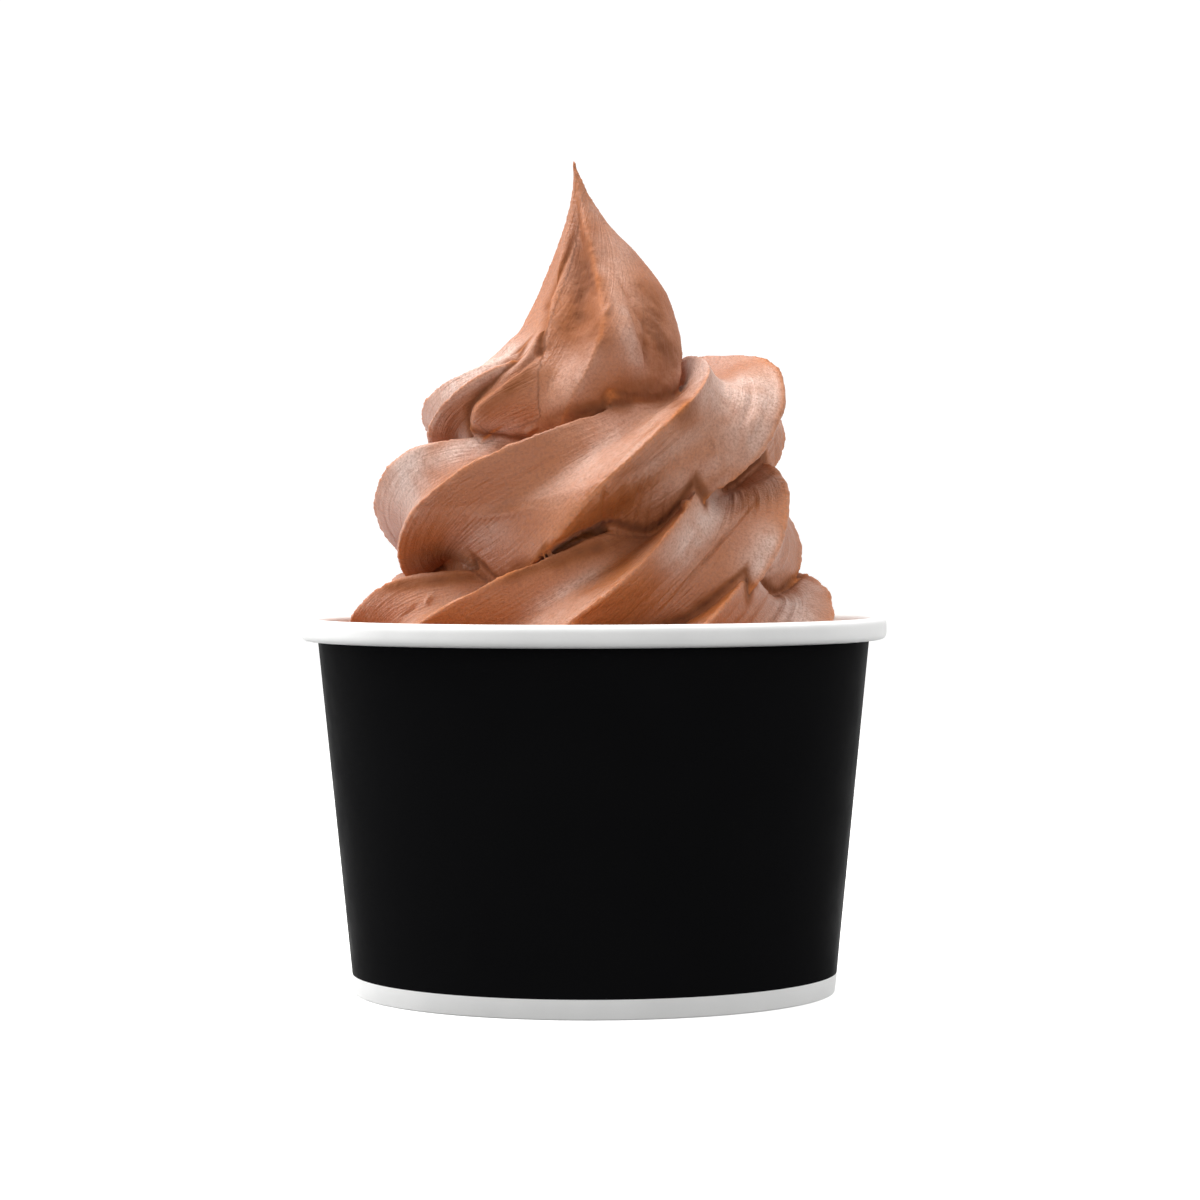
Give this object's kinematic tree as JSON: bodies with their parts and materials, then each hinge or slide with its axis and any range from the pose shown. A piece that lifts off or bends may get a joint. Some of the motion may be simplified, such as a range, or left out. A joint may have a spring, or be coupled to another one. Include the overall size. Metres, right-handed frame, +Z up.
{
  "type": "soft serve cup",
  "caption": "Tapered paper dessert cup with a rolled rim, filled with a tall ridged swirl of chocolate soft serve that ends in a curled peak.",
  "frame": {"origin": "centre of the cup's foot, on the surface that it stands on", "axes": "+Z up along the cup's axis, the front of the swirl faces -Y"},
  "size_m": [0.096, 0.096, 0.1357],
  "materials": {
    "printed_paper": "satin black print on white coated paper, left white on the rim and the foot band",
    "white_paper": "matte white coated paper",
    "soft_serve": "satin-matte milk chocolate soft serve"
  },
  "bodies": {
    "root": {"cup_wall": "printed_paper", "cup_base": "white_paper", "soft_serve": "soft_serve"}
  },
  "joints": []
}
